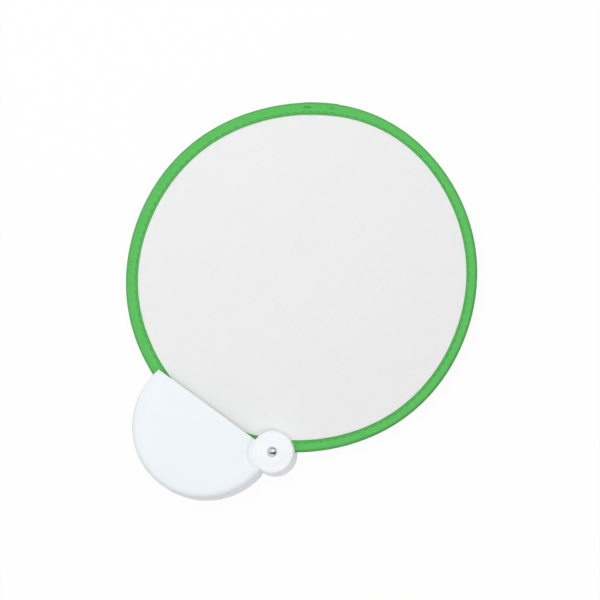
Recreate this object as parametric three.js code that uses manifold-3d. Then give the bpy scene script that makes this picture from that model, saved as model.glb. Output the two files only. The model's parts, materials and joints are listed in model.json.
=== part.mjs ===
// A round hand fan on a half-round case that is its handle.
// A cloth disc is bound with tape over a spring hoop. A hub at one end of the case's straight mouth clamps
// the hoop, and the case swivels about the hub's rivet.
// Millimetres, +Z up. The case lies on its back on z = 0. The centre of its round edge is at x = y = 0, its
// mouth runs along X, and the open fan lies on the +Y side.

import * as THREE from 'three';
import { mergeVertices } from 'three/addons/utils/BufferGeometryUtils.js';
import Module from 'manifold-3d';

const wasm = await Module();
wasm.setup();

// Fan: cloth, tape and hoop
const FAN_RADIUS = 120; // to the outer edge of the binding
const BINDING_WIDTH = 8; // of the tape on each face of the cloth
const TAPE = 0.35; // thickness of the tape
const CLOTH = 0.4; // thickness of the cloth
const CLOTH_GAP = 0.2; // between the cloth and the tape on each side
const CLOTH_SEAM = 4; // of cloth caught inside the binding
const STRIP_HEIGHT = 1.8; // of the spring strip, across the fan's plane
const STRIP_THICKNESS = 0.6; // of the spring strip, along the fan's radius
const STRIP_PARTING = 0.6; // between the strip's two ends
const SLEEVE_WALL = 0.25; // of the sleeve that joins the strip's ends
const SLEEVE_LENGTH = 18;
const SLEEVE_FIT = 0.05; // between the strip and the sleeve
const SLEEVE_SEAT = 0.35; // between the sleeve and the outer fold of the tape
const SLEEVE_ANGLE = 120; // place of the sleeve round the fan, in degrees from +X
const BEAD_GAP = 0.2; // between the sleeve and the tape above, below and inside it
const BEAD_ROUND = 0.9; // of the binding's outer corners
const BEAD_SLOPE = 1.6; // radial length of the slope from the bead to the flat tape

// Case
const CASE_RADIUS = 50;
const MOUTH_OFFSET = 11.5; // of the mouth line from the centre of the round edge
const CASE_WALL = 1.6;
const CASE_ROUND = 3.8; // of the round edge, front and back
const CASE_INNER_ROUND = 2.2; // of the same edge inside
const LIP_HEIGHT = 1.2; // of the front shell's lip inside the back shell
const LIP_GAP = 0.2; // round the lip
const STUD_RADIUS = 1; // of the pins that join the shells
const STUD_LENGTH = 2.5;
const STUD_FIT = 0.2; // round each pin in its socket
const STUD_WALL = 1.2; // of the bosses round the pins
const STUD_ANGLES = [205, 255, 305]; // places of the pins round the case, in degrees from +X
const NOTCH_GAP = 0.5; // round the fan's rim where it passes the end of the case's wall

// Hub
const HUB_RADIUS = 14.5;
const HUB_ROUND = 1; // of the caps' outer edges
const HUB_GROOVE = 2.6; // width of the shallow groove that slopes down to the hub in the case's faces
const GROOVE_DEPTH = 0.9; // of the groove beside the hub
const COLLAR = 2.8; // thickness of the collar that joins each ear to its shell
const RUN_GAP = 0.3; // between the hub and the case that turns round it
const EAR = 1.6; // thickness of the case's ears inside the hub
const BOSS_RADIUS = 5; // of the caps' bosses, on which the ears turn
const CAP_FLOOR = 1.4; // of the back cap under the washer
const PAD_RADIUS = 7.6; // of the low round pad in the middle of the front cap
const PAD_HEIGHT = 0.25;
const PAD_SLOPE = 0.9; // radial width of the pad's edge
const JAW_FLOOR = 2.2; // of each jaw over the fan's bead
const JAW_GAP = 0.3; // between the jaws and the fan's rim
const JAW_PARTING = 0.2; // between the two jaws
const POST_WALL = 0.8; // of the jaws between the fan's rim and the rivet
const PEG_RADIUS = 1.2; // of the pegs through the binding
const PEG_SPREAD = 13; // between the two pegs
const PEG_DEPTH = 1.2; // of each peg in its socket
const PEG_FIT = 0.2; // round each peg in its socket
const PEG_HOLE_GAP = 0.3; // round each peg in the tape and the cloth

// Rivet
const SHANK_RADIUS = 1.5;
const RIVET_FIT = 0.2; // round the shank
const HEAD_RADIUS = 3.5;
const HEAD_HEIGHT = 1.4;
const TAIL_RADIUS = 2.75;
const TAIL_HEIGHT = 0.6;
const TAIL_SINK = 0.3; // of the tail below the hub's back face
const WASHER_RADIUS = 4.5;
const WASHER = 0.5; // thickness of the washer
const RECESS_GAP = 1; // round the washer in the back cap

// Where the open fan lies: the direction from the rivet to the middle of the fan, in degrees from +X
const OPEN_ANGLE = 118.3;

// Facets
const RING_SEGMENTS = 80;
const HUB_SEGMENTS = 48;
const PIN_SEGMENTS = 24;
const ROUND_STEPS = 4;
const BEAD_STEPS = 2;
const CUT = 3; // how far a cutting solid runs past what it cuts

// Section of the rim, as heights from the fan's middle plane and lengths inwards from its outer edge
const sleeveAcross = STRIP_THICKNESS + 2 * (SLEEVE_FIT + SLEEVE_WALL);
const sleeveHalf = STRIP_HEIGHT / 2 + SLEEVE_FIT + SLEEVE_WALL;
const beadHalf = sleeveHalf + BEAD_GAP + TAPE;
const beadFlat = TAPE + SLEEVE_SEAT + sleeveAcross + BEAD_GAP;
const beadWidth = beadFlat + BEAD_SLOPE;
const flangeHalf = CLOTH / 2 + CLOTH_GAP + TAPE;
const bindingRadius = FAN_RADIUS - BINDING_WIDTH;
const stripRadius = FAN_RADIUS - TAPE - SLEEVE_SEAT - sleeveAcross / 2;
const clothRadius = bindingRadius + CLOTH_SEAM;

// Heights in the hub, from the fan's middle plane outwards to either face
const jawTop = beadHalf + JAW_GAP + JAW_FLOOR;
const earLow = jawTop + RUN_GAP;
const earHigh = earLow + EAR;
const capLow = earHigh + RUN_GAP;
const recessDepth = WASHER + TAIL_HEIGHT + TAIL_SINK;
const faceHeight = capLow + CAP_FLOOR + recessDepth;
const plateLow = faceHeight - CASE_WALL;
const boreRadius = SHANK_RADIUS + RIVET_FIT;

// Places
const pivot = new THREE.Vector2(Math.sqrt(CASE_RADIUS ** 2 - MOUTH_OFFSET ** 2), MOUTH_OFFSET);
const fanReach = FAN_RADIUS + JAW_GAP + POST_WALL + boreRadius;
const openAngle = THREE.MathUtils.degToRad(OPEN_ANGLE);
const fanCentre = polar(fanReach, openAngle).add(pivot);
const caseCentre = new THREE.Vector2(0, 0);
const pegRadial = (FAN_RADIUS - beadWidth + bindingRadius) / 2;
const pegTurn = Math.asin(PEG_SPREAD / 2 / pegRadial);
const pegs = [-pegTurn, pegTurn].map((turn) => polar(-pegRadial, openAngle + turn).add(fanCentre));
const studRadial = CASE_RADIUS - CASE_WALL - STUD_RADIUS;
const studs = STUD_ANGLES.map((angle) => polar(studRadial, THREE.MathUtils.degToRad(angle)));

function polar(radius, angle) {
  return new THREE.Vector2(radius * Math.cos(angle), radius * Math.sin(angle));
}

// A closed solid of a geometry, with its faces outwards.
function solid(geometry) {
  geometry.deleteAttribute('normal');
  geometry.deleteAttribute('uv');
  const merged = mergeVertices(geometry);
  const position = merged.getAttribute('position');
  const index = merged.getIndex().array;
  const corners = [new THREE.Vector3(), new THREE.Vector3(), new THREE.Vector3()];
  const triangles = [];
  let volume = 0;
  for (let i = 0; i < index.length; i += 3) {
    const [a, b, c] = index.slice(i, i + 3);
    if (a === b || b === c || c === a) continue;
    triangles.push(a, b, c);
    [a, b, c].forEach((vertex, k) => corners[k].fromBufferAttribute(position, vertex));
    volume += corners[0].dot(corners[1].clone().cross(corners[2]));
  }
  if (volume < 0) triangles.reverse();
  return new wasm.Manifold(new wasm.Mesh({
    numProp: 3,
    vertProperties: new Float32Array(position.array),
    triVerts: new Uint32Array(triangles),
  }));
}

// A solid turned about an upright axis. The profile holds pairs of radius and height from the fan's middle
// plane, and side is 1 for the front half and -1 for the back half.
function turned(profile, centre, side = 1, segments = HUB_SEGMENTS) {
  const points = profile.map(([radius, height]) => new THREE.Vector2(radius, side * height));
  if (profile[0][0] > 0) points.push(points[0].clone());
  const geometry = new THREE.LatheGeometry(points, segments);
  geometry.rotateX(Math.PI / 2);
  geometry.translate(centre.x, centre.y, faceHeight);
  return solid(geometry);
}

// A plain disc from one height to another.
function disc(radius, low, high, centre, side = 1, segments = HUB_SEGMENTS) {
  return turned([[0, low], [radius, low], [radius, high], [0, high]], centre, side, segments);
}

// A plain ring with a square section.
function ring(inner, outer, low, high, centre, segments = RING_SEGMENTS) {
  return turned([[inner, low], [outer, low], [outer, high], [inner, high]], centre, 1, segments);
}

// Points on a quarter round of a profile, from its upright side to its flat one.
function quarter(radius, height, round, steps = ROUND_STEPS) {
  return Array.from({ length: steps + 1 }, (_, i) => {
    const angle = (i / steps) * (Math.PI / 2);
    return [radius - round + round * Math.cos(angle), height - round + round * Math.sin(angle)];
  });
}

// A box across the fan's rim at an angle round the fan, as long as length along the rim.
function rimBox(length, angle) {
  const geometry = new THREE.BoxGeometry(BINDING_WIDTH + CUT, length, 2 * (beadHalf + CUT));
  geometry.translate(stripRadius, 0, 0);
  geometry.rotateZ(angle);
  geometry.translate(fanCentre.x, fanCentre.y, faceHeight);
  return solid(geometry);
}

// The part of the half-plane below the mouth line that a case shell fills.
function belowMouth() {
  const span = 2 * (CASE_RADIUS + CUT);
  const geometry = new THREE.BoxGeometry(span, span, 4 * faceHeight);
  geometry.translate(0, MOUTH_OFFSET - span / 2, faceHeight);
  return solid(geometry);
}

// One half of the case. Its ear lies in the hub between the cap and the jaws, at the foot of a round well.
// On the face, a shallow groove slopes down to the well.
function caseShell(side) {
  const front = side > 0;
  const innerRadius = CASE_RADIUS - CASE_WALL;
  const lipRadius = innerRadius + (CASE_WALL - LIP_GAP) / 2;
  const wellRadius = HUB_RADIUS + RUN_GAP;
  const grooveRadius = wellRadius + HUB_GROOVE;
  const depth = LIP_HEIGHT + STUD_LENGTH + CUT;

  const outerEdge = quarter(CASE_RADIUS, faceHeight, CASE_ROUND);
  const innerEdge = quarter(innerRadius, plateLow, CASE_INNER_ROUND);
  const outside = [[0, 0], [CASE_RADIUS, 0], ...outerEdge, [0, faceHeight]];
  const inside = [[0, -depth], [innerRadius, -depth], ...innerEdge, [0, plateLow]];
  let body = turned(outside, caseCentre, side, RING_SEGMENTS);
  if (front) body = body.add(disc(lipRadius, -LIP_HEIGHT, LIP_HEIGHT, caseCentre, side, RING_SEGMENTS));
  body = body.intersect(belowMouth());
  body = body.add(disc(HUB_RADIUS, earLow / 2, (earHigh + faceHeight) / 2, pivot, side));

  let hollow = turned(inside, caseCentre, side, RING_SEGMENTS);
  hollow = hollow.add(disc(wellRadius, -depth, earHigh, pivot, side));
  hollow = hollow.subtract(disc(wellRadius + COLLAR, earLow, faceHeight + CUT, pivot, side));
  const bossRadius = STUD_RADIUS + STUD_WALL;
  for (const stud of studs) {
    hollow = hollow.subtract(disc(bossRadius, -depth - CUT, faceHeight, stud, side, PIN_SEGMENTS));
  }
  body = body.subtract(hollow);
  body = body.subtract(disc(wellRadius, earHigh, faceHeight + CUT, pivot, side));
  const groove = [
    [0, faceHeight - GROOVE_DEPTH],
    [wellRadius, faceHeight - GROOVE_DEPTH],
    [grooveRadius, faceHeight],
    [grooveRadius, faceHeight + CUT],
    [0, faceHeight + CUT],
  ];
  body = body.subtract(turned(groove, pivot, side));
  body = body.subtract(disc(BOSS_RADIUS + RUN_GAP, 0, faceHeight, pivot, side));

  const rebate = LIP_HEIGHT + LIP_GAP;
  const studEnd = LIP_HEIGHT + STUD_LENGTH;
  if (!front) body = body.subtract(disc(lipRadius + LIP_GAP, -CUT, rebate, caseCentre, side, RING_SEGMENTS));
  for (const stud of studs) {
    if (front) body = body.add(disc(STUD_RADIUS, -studEnd, LIP_HEIGHT, stud, side, PIN_SEGMENTS));
    else body = body.subtract(disc(STUD_RADIUS + STUD_FIT, 0, studEnd + STUD_FIT, stud, side, PIN_SEGMENTS));
  }
  const notch = beadHalf + NOTCH_GAP;
  body = body.subtract(disc(FAN_RADIUS + NOTCH_GAP, -depth, notch, fanCentre, side, RING_SEGMENTS));
  return body;
}

// A hub cap with the boss that the ear turns on. The front one has a low pad under the rivet's head, and the
// back one sinks the rivet's tail.
function hubCap(side) {
  const recess = WASHER_RADIUS + RECESS_GAP;
  const seat = side > 0
    ? [[PAD_RADIUS + PAD_SLOPE, faceHeight], [PAD_RADIUS, faceHeight + PAD_HEIGHT]]
    : [[recess, faceHeight], [recess, faceHeight - recessDepth]];
  return turned([
    [boreRadius, jawTop],
    [BOSS_RADIUS, jawTop],
    [BOSS_RADIUS, capLow],
    [HUB_RADIUS, capLow],
    ...quarter(HUB_RADIUS, faceHeight, HUB_ROUND),
    ...seat,
    [boreRadius, seat[1][1]],
  ], pivot, side);
}

// One jaw of the clamp on the fan's rim. The front jaw has the pegs, and the back jaw their sockets.
function clampJaw(side) {
  const front = side > 0;
  const flange = flangeHalf + JAW_GAP;
  const bead = beadHalf + JAW_GAP;
  const beadInner = FAN_RADIUS - beadWidth;
  let body = disc(HUB_RADIUS, JAW_PARTING / 2, jawTop, pivot, side);
  body = body.subtract(disc(beadInner, -CUT, flange, fanCentre, side, RING_SEGMENTS));
  body = body.subtract(ring(beadInner - JAW_GAP, FAN_RADIUS + JAW_GAP, -bead, bead, fanCentre));
  body = body.subtract(disc(boreRadius, -CUT, jawTop + CUT, pivot, side, PIN_SEGMENTS));
  for (const peg of pegs) {
    const end = flange + PEG_DEPTH;
    if (front) body = body.add(disc(PEG_RADIUS, -end, flange + JAW_FLOOR / 2, peg, side, PIN_SEGMENTS));
    else body = body.subtract(disc(PEG_RADIUS + PEG_FIT, 0, end + PEG_FIT, peg, side, PIN_SEGMENTS));
  }
  return body;
}

// The folded tape: a bead round the hoop, and a flat flange on each face of the cloth.
function rimBinding() {
  const half = (inset, top, flange) => [
    ...quarter(FAN_RADIUS - inset, top, BEAD_ROUND - inset, BEAD_STEPS),
    [FAN_RADIUS - beadFlat, top],
    [FAN_RADIUS - beadWidth, flange],
    [bindingRadius, flange],
  ];
  const outer = half(0, beadHalf, flangeHalf);
  const inner = half(TAPE, beadHalf - TAPE, flangeHalf - TAPE);
  const flip = (points) => points.map(([radius, height]) => [radius, -height]).reverse();
  const profile = [...flip(outer), ...outer, ...inner.slice().reverse(), ...flip(inner).reverse()];
  return pegHoles(turned(profile, fanCentre, 1, RING_SEGMENTS));
}

// A piece of the fan with its holes for the clamp's pegs.
function pegHoles(body) {
  for (const peg of pegs) {
    body = body.subtract(disc(PEG_RADIUS + PEG_HOLE_GAP, -beadHalf, beadHalf, peg, 1, PIN_SEGMENTS));
  }
  return body;
}

// A ring as high and thick as the spring strip, made larger all round by a margin.
function stripRing(margin) {
  const across = STRIP_THICKNESS / 2 + margin;
  const high = STRIP_HEIGHT / 2 + margin;
  return ring(stripRadius - across, stripRadius + across, -high, high, fanCentre);
}

// The rivet: its domed head on the front cap's pad, its shank, and its formed tail on the washer.
function pivotRivet() {
  const headLow = faceHeight + PAD_HEIGHT;
  const tailLow = faceHeight - TAIL_SINK;
  const tailHigh = tailLow - TAIL_HEIGHT;
  const dome = Array.from({ length: ROUND_STEPS + 2 }, (_, i) => {
    const angle = (i / (ROUND_STEPS + 1)) * (Math.PI / 2);
    return [i > ROUND_STEPS ? 0 : HEAD_RADIUS * Math.cos(angle), headLow + HEAD_HEIGHT * Math.sin(angle)];
  });
  return turned([
    [0, -tailLow],
    [TAIL_RADIUS - TAIL_HEIGHT / 2, -tailLow],
    [TAIL_RADIUS, -tailLow + TAIL_HEIGHT / 2],
    [TAIL_RADIUS, -tailHigh],
    [SHANK_RADIUS, -tailHigh],
    [SHANK_RADIUS, headLow],
    ...dome,
  ], pivot, 1, PIN_SEGMENTS);
}

// The washer under the rivet's tail, on the floor of the back cap's recess.
function rivetWasher() {
  const low = faceHeight - recessDepth;
  const high = low + WASHER;
  const profile = [[boreRadius, low], [WASHER_RADIUS, low], [WASHER_RADIUS, high], [boreRadius, high]];
  return turned(profile, pivot, -1, PIN_SEGMENTS);
}

const casePlastic = { color: 0xf0f5f9, roughness: 0.35, metalness: 0 };
const hubPlastic = { color: 0xf2f7f9, roughness: 0.32, metalness: 0 };
const whiteCloth = { color: 0xececec, roughness: 0.85, metalness: 0 };
const greenTape = { color: 0x5fbd61, roughness: 0.8, metalness: 0 };
const springSteel = { color: 0x8f9499, roughness: 0.4, metalness: 1 };
const rivetMetal = { color: 0xc8ccd0, roughness: 0.18, metalness: 1 };

function piece(name, body, look) {
  const { vertProperties, triVerts } = body.getMesh();
  const geometry = new THREE.BufferGeometry();
  geometry.setAttribute('position', new THREE.BufferAttribute(vertProperties, 3));
  geometry.setIndex(new THREE.BufferAttribute(triVerts, 1));
  geometry.computeVertexNormals();
  const mesh = new THREE.Mesh(geometry, new THREE.MeshStandardMaterial(look));
  mesh.name = name;
  return mesh;
}

const sleeveAngle = THREE.MathUtils.degToRad(SLEEVE_ANGLE);
const hoop = stripRing(0).subtract(rimBox(STRIP_PARTING, sleeveAngle));
const sleeve = stripRing(SLEEVE_FIT + SLEEVE_WALL).subtract(stripRing(SLEEVE_FIT));
const cloth = disc(clothRadius, -CLOTH / 2, CLOTH / 2, fanCentre, 1, RING_SEGMENTS);

const caseGroup = new THREE.Group();
caseGroup.add(
  piece('case_front_shell', caseShell(1), casePlastic),
  piece('case_back_shell', caseShell(-1), casePlastic),
);

const fanGroup = new THREE.Group();
fanGroup.add(
  piece('fan_cloth', pegHoles(cloth), whiteCloth),
  piece('rim_binding', rimBinding(), greenTape),
  piece('spring_hoop', hoop, springSteel),
  piece('hoop_sleeve', sleeve.intersect(rimBox(SLEEVE_LENGTH, sleeveAngle)), springSteel),
  piece('clamp_front_jaw', clampJaw(1), hubPlastic),
  piece('clamp_back_jaw', clampJaw(-1), hubPlastic),
  piece('hub_front_cap', hubCap(1), hubPlastic),
  piece('hub_back_cap', hubCap(-1), hubPlastic),
  piece('pivot_rivet', pivotRivet(), rivetMetal),
  piece('rivet_washer', rivetWasher(), rivetMetal),
);

const fan = new THREE.Group();
fan.add(caseGroup, fanGroup);

export default fan;
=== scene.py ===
"""A round folding hand fan on its half-round case: the looks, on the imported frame.

The case's shells, the hub, the rivet, the cloth, the folded tape and its stitches are surfaces worked out
with numpy in the frame's metres.
"""
import json
import math

import bmesh
import bpy
import numpy as np
from mathutils import Matrix, Vector


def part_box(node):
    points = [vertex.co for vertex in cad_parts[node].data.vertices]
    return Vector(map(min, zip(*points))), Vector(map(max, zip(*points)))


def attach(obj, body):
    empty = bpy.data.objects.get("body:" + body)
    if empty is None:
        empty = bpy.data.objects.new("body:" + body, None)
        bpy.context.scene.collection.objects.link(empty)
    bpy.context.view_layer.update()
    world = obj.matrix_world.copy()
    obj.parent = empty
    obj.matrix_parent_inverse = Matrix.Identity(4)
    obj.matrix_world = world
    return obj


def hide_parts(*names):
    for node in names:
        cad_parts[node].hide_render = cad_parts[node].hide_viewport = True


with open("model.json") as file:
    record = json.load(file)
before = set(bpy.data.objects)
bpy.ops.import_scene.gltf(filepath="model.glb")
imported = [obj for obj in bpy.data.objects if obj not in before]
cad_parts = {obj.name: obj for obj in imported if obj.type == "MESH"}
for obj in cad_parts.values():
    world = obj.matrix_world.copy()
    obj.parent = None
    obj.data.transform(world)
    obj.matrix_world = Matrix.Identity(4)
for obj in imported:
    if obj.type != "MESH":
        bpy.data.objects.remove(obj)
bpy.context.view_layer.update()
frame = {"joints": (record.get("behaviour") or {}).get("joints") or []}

MM = 0.001

# Case
CASE_WALL = 1.6 * MM
CASE_ROUND = 3.8 * MM  # of the round edge outside
CASE_INNER_ROUND = 2.2 * MM  # of the same edge inside
FLAT_MARGIN = 1.2 * MM  # of flat face beside each round, which keeps the face's shading flat
MOUTH_ROUND = 0.35 * MM  # of the plate's edge along the mouth
PARTING_ROUND = 0.3 * MM  # of the walls' feet, which shows as the parting line
NOTCH_HALF = 2.25 * MM  # half height of the notch for the rim in the case's wall
NOTCH_GAP = 0.5 * MM
HOLLOW = 0.6 * MM  # depth of the hollow outside the wall's end, where the rim lies at the end of its swing
HOLLOW_LENGTH = 11 * MM
STUD_RADIUS = 1 * MM
STUD_FIT = 0.2 * MM
STUD_BOSS = 1.8 * MM
STUD_LENGTH = 3.7 * MM
STUD_ANGLES = np.radians([205, 255, 305])
PLATE_SINK = 0.1 * MM  # of the collars and bosses into the plate that carries them

# Hub
RUN_GAP = 0.3 * MM  # between the hub and the case that turns round it
WELL_GAP = 0.05 * MM  # the same gap where it shows, at the foot of the groove
GROOVE_WIDTH = 2.9 * MM  # of the soft groove in the case's faces round the hub
GROOVE_DEPTH = 1.45 * MM
WALL_GROOVE = 1.3 * MM  # depth of the same groove where it runs on down the case's wall
COLLAR = 2.8 * MM  # thickness of the case's collar round the hub
EAR = 1.6 * MM
BOSS_RADIUS = 5 * MM
CAP_ROUND = 1.6 * MM
CAP_EDGE = 0.25 * MM  # round of the caps' inner edges
PAD_RADIUS = 7.6 * MM  # of the low pad under the rivet's head
PAD_SLOPE = 0.9 * MM
PAD_HEIGHT = 0.25 * MM
RECESS_GAP = 1 * MM
JAW_GAP = 0.3 * MM
JAW_SLOPE = 0.3 * MM  # length of the slopes beside the channel for the bead
JAW_PARTING = 0.2 * MM
BORE_FIT = 0.2 * MM

# Rivet
SHANK_RADIUS = 1.5 * MM
HEAD_EDGE = 0.3 * MM  # upright edge under the dome
TAIL_RADIUS = 2.75 * MM
TAIL_LIP = 0.1 * MM  # by which the rolled tail has turned in where its hollow begins
TAIL_CUP = 1.1 * MM  # radius of that hollow
CUP_DEPTH = 0.2 * MM  # of the hollow past the washer's face
CUP_SHARE = 0.75  # of that depth, halfway from the hollow's edge to its middle

# Fan. The sprung rim is a little out of round, and the tape a little uneven in width. Each is a sum of
# waves round the fan: a count, and its cosine and sine in millimetres.
RIM_WAVES = [
    (0, 0.28, 0), (1, 0.55, -0.45), (2, -0.26, -0.29), (3, 0.13, -0.19), (4, 0.31, 0.04), (5, -0.06, -0.01),
    (6, -0.03, -0.26),
]
TAPE_WAVES = [
    (0, 0.05, 0), (1, -0.62, -0.45), (2, 0.01, -0.2), (3, 0.09, 0.2), (5, -0.12, -0.07), (6, 0.13, 0),
]
BINDING_WIDTH = 8 * MM  # of the folded tape on each face
FLANGE_HALF = 0.75 * MM
BEAD_WIDTH = 3.7 * MM
STITCH_INSET = 6.05 * MM  # of the stitching from the fan's outer edge
STITCH_COUNT = 136
STITCH_LENGTH = 3.4 * MM
STITCH_DIMPLE = 0.08 * MM
DIMPLE_REACH = 0.55 * MM
STITCH_SINK = 0.07 * MM  # of the threads into the tape
THREAD = 0.55 * MM
THREAD_BOW = 0.3  # rise of a stitch in its middle, as a share of the thread's thickness
STRIP_INSET = 1.3 * MM  # of the middle of the spring strip from the fan's outer edge
STRIP = (0.6 * MM, 1.8 * MM)  # thickness and height of the strip
STRIP_PARTING = 0.6 * MM
SLEEVE_FIT = 0.05 * MM
SLEEVE_WALL = 0.25 * MM
SLEEVE_LENGTH = 18 * MM
SLEEVE_ANGLE = math.radians(120)
LAP_ANGLE = math.radians(119.7)  # middle of the lap of the tape's two ends
LAP_LENGTH = 24 * MM
LAP_RISE = 0.16 * MM
LAP_FADE = 0.5 * MM
TACK_INSET = 3.3 * MM
TACKS = [(math.radians(124.2), 9), (math.radians(116.0), 3)]  # place and count of the tacks' threads
TACK_PITCH = 0.62 * MM
TACK_LENGTH = 1.3 * MM
SWELL_HEIGHT = 0.16 * MM
SWELLS = [(1, -0.8), (2, 1.1), (3, -0.5)]  # count of each broad swell round the cloth, and its phase
PUCKER_HEIGHT = 0.06 * MM
PUCKER_COUNT = 90
# Shares of the cloth's radius: where puckers start, how far they take to grow, and to end again at the edge
PUCKER_START = 0.84
PUCKER_GROWTH = 0.11
PUCKER_END = 0.035

# Weaves
CLOTH_PITCH = 0.45 * MM  # between the cloth's threads
SLUB_SHARE = 0.35  # of the slubs in the cloth's relief, with the rest for its weave
RIB_COUNT = 1300  # of the tape's ribs round the fan
WARP_PITCH = 0.35 * MM  # between the tape's finer threads
MOTTLE_SHARE = 0.4  # of the mottle in the tape's relief, with the rest for its weave
TAPE_SHADES = 0.57, 1.2  # darkest and lightest shade, as shares of the tape's green
WEAVE_SHARE = 0.667  # of that range for the weave, with the rest left for the bands of painted shade
# Painted shade on the tape: darker bands on the fold, which turns away from the light, and beside the sewn
# edges, where shadow falls. Each gives the distances from the fold, or from a sewn edge, at which the band
# starts and is full, and its depth
FOLD_PAINTED_SHADE = 3.3 * MM, 1.5 * MM, -0.42
SEWN_EDGE_PAINTED_SHADE = 2.1 * MM, 1.1 * MM, -0.36

# Colours as the photograph shows them
CASE_WHITE = (0.865, 0.91, 0.945)
HUB_WHITE = (0.91, 0.945, 0.962)
CLOTH_WHITE = (0.83, 0.83, 0.83)
TAPE_GREEN = (0.108, 0.535, 0.112)
THREAD_GREEN = (0.055, 0.35, 0.065)
STEEL = (0.5, 0.52, 0.54)
PLATED = (0.64, 0.65, 0.66)

# Camera
VIEW_DISTANCE = 2.5
VIEW_TILT = math.radians(13.15)
VIEW_TOWARDS = math.radians(342.6)  # direction in which the camera stands off from straight above, from +X
VIEW_RIGHT = math.radians(35.19)  # direction of the picture's right-hand side
VIEW_LENS = 221.8
VIEW_SENSOR = 36
VIEW_CLIP = 0.1, 20
AIM_BELOW = 16.77 * MM
AIM_LEFT = 0.32 * MM

# Studio
FLOOR_COLOUR = (0.95, 0.875, 0.89)
FLOOR_WHITE = 0.95  # share of plain white in the floor that the camera and reflections see
FLOOR_REACH = 4.0
FLOOR_DROP = 0.05 * MM  # of the floor below the case's back
LAMP_SIZE = 0.9
# Each lamp's direction, to the picture's right, to its top and up from the floor, then its distance and
# its power
LAMPS = {
    "top_lamp": ((-0.2, 0.42, 1), 1.05, 6.1),
    "left_lamp": ((-0.75, -0.1, 1), 2.0, 4.2),
    "fill_lamp": ((0.36, -0.46, 1), 2.5, 15.2),
}
SKY = 0.31
SKY_LEAST = 0.02
# Patches of the sky that reflections show: the lamp, a dark band below it, a dark patch beside it and one
# above it. Each has the slopes of its middle to the picture's right and to its top, its reach in both, and
# its level.
SKY_PATCHES = [
    ((-0.03, 0.26), (0.16, 0.14), 1.0),
    ((0.0, -0.06), (0.66, 0.13), -0.95),
    ((0.42, -0.15), (0.28, 0.38), -0.85),
    ((0.1, 1.1), (0.9, 0.55), -0.55),
]
PATCH_EASE = 1.6, 0.4  # squared distance from a patch's middle, in reaches, at which it starts and is full
LOW_SKY = 0.05  # least upward part of a direction, which keeps its slopes in bounds

# Fineness of the surfaces, in steps
SMALL_ROUND_STEPS = 4  # over the smallest rounds
OUTER_ROUND_STEPS = 14  # over the case's round edge outside
INNER_ROUND_STEPS = 18  # over the same edge inside
MOUTH_STEPS = 5  # over the mouth's rounded edge
GROOVE_STEPS = 16
TIP_STEPS = 8  # from the mouth's tip to the end of the notch
CASE_STEPS = 128  # round the case
WELL_STEPS = 64  # round the hub's well
WALL_STEPS = 4  # across the strips that close the walls
EAR_STEPS = 48  # round the case's side of an ear, with twice as many round its free side
STUD_STEPS = 32
HUB_STEPS = 160  # round the hub
CAP_STEPS = 10  # over a cap's round
PAD_STEPS = 12
JAW_STEPS = 55  # from a jaw's bore to its edge
RIVET_STEPS = 96  # round the rivet and its washer
DOME_STEPS = 14
TAIL_STEPS = 8
CLOTH_STEPS = 540  # round the cloth
CLOTH_RINGS = 27, 21  # inside and outside the share of the radius from which they are closer
RINGS_CLOSER = 0.8
FACE_STEPS = 29  # across the tape's outside, from the fold to a sewn edge
LINING_STEPS = 13  # across its inside
STITCH_STEPS = 6  # along the tape for each stitch
STRIP_STEPS = 360
STRIP_EDGE_STEPS = 6
SLEEVE_STEPS = 16
THREAD_STEPS = 6  # along a stitch, and round it
MERGE = 0.001 * MM  # distance within which points are one


def corners(node):
    """Lowest and highest corner of a node at rest."""
    low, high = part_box(node)
    return np.array(low), np.array(high)


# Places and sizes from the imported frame. Heights are counted from the plane where the case's halves meet.
pivot = np.array(frame["joints"][0]["pos_m"])
middle = pivot[2]
mouth = pivot[1]
pivot_turn = math.atan2(pivot[1], pivot[0])
case_low, case_high = corners("case_front_shell")
case_radius = -case_low[1]
face = case_high[2] - middle
plate = face - CASE_WALL
cap_low, cap_high = corners("hub_front_cap")
hub_radius = (cap_high[0] - cap_low[0]) / 2
jaw_top = cap_low[2] - middle
ear_low = jaw_top + RUN_GAP
ear_high = ear_low + EAR
cap_foot = ear_high + RUN_GAP
rim_low, rim_high = corners("rim_binding")
fan_centre = (rim_low + rim_high) / 2
fan_radius = (rim_high[0] - rim_low[0]) / 2
bead_half = rim_high[2] - middle
cloth_low, cloth_high = corners("fan_cloth")
cloth_radius = (cloth_high[0] - cloth_low[0]) / 2
cloth_half = (cloth_high[2] - cloth_low[2]) / 2
rivet_low, rivet_high = corners("pivot_rivet")
head_radius = (rivet_high[0] - rivet_low[0]) / 2
head_top = rivet_high[2] - middle
tail_end = middle - rivet_low[2]
washer_low, washer_high = corners("rivet_washer")
washer_radius = (washer_high[0] - washer_low[0]) / 2
washer_seat = middle - washer_high[2]
washer_top = middle - washer_low[2]
bore_radius = SHANK_RADIUS + BORE_FIT
well_radius = hub_radius + WELL_GAP
collar_radius = hub_radius + RUN_GAP + COLLAR
support_radius = case_radius - CASE_ROUND - FLAT_MARGIN
notch_radius = fan_radius + NOTCH_GAP

# Directions on the floor of the picture's right-hand side and of its top, and the way up from the floor
picture_right = Vector((math.cos(VIEW_RIGHT), math.sin(VIEW_RIGHT), 0))
picture_up = Vector((-picture_right.y, picture_right.x, 0))
straight_up = Vector((0, 0, 1))


# Surfaces

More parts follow.
